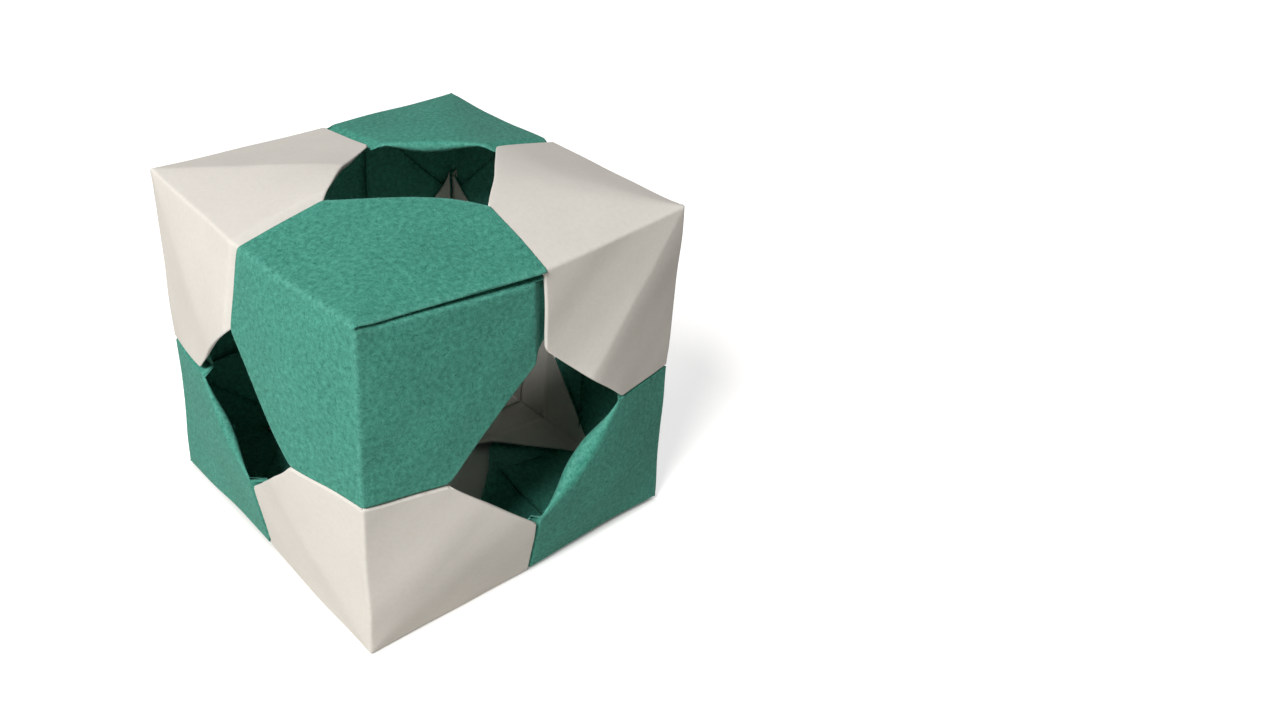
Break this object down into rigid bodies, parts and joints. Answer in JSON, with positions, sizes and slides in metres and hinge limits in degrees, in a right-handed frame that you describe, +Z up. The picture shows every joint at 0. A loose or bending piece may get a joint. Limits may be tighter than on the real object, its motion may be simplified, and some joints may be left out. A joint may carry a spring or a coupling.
{
  "type": "modular origami cube",
  "caption": "Open cube of interlocking folded-paper corner units in green and cream, with a diamond window in every face.",
  "frame": {"origin": "middle of the cube's bottom face, on the surface it stands on", "axes": "+Z up; -X is the left face and -Y the right face as the picture sees the cube, and they meet at the nearest vertical edge"},
  "size_m": [0.0764, 0.0764, 0.0732],
  "materials": {
    "green_paper": "matte fibrous coloured construction paper",
    "cream_paper": "matte smooth uncoated paper"
  },
  "bodies": {
    "root": {"green_corner_top_front": "green_paper", "green_corner_top_back": "green_paper", "green_corner_bottom_left": "green_paper", "green_corner_bottom_right": "green_paper", "cream_corner_top_left": "cream_paper", "cream_corner_top_right": "cream_paper", "cream_corner_bottom_front": "cream_paper", "cream_corner_bottom_back": "cream_paper"}
  },
  "joints": []
}
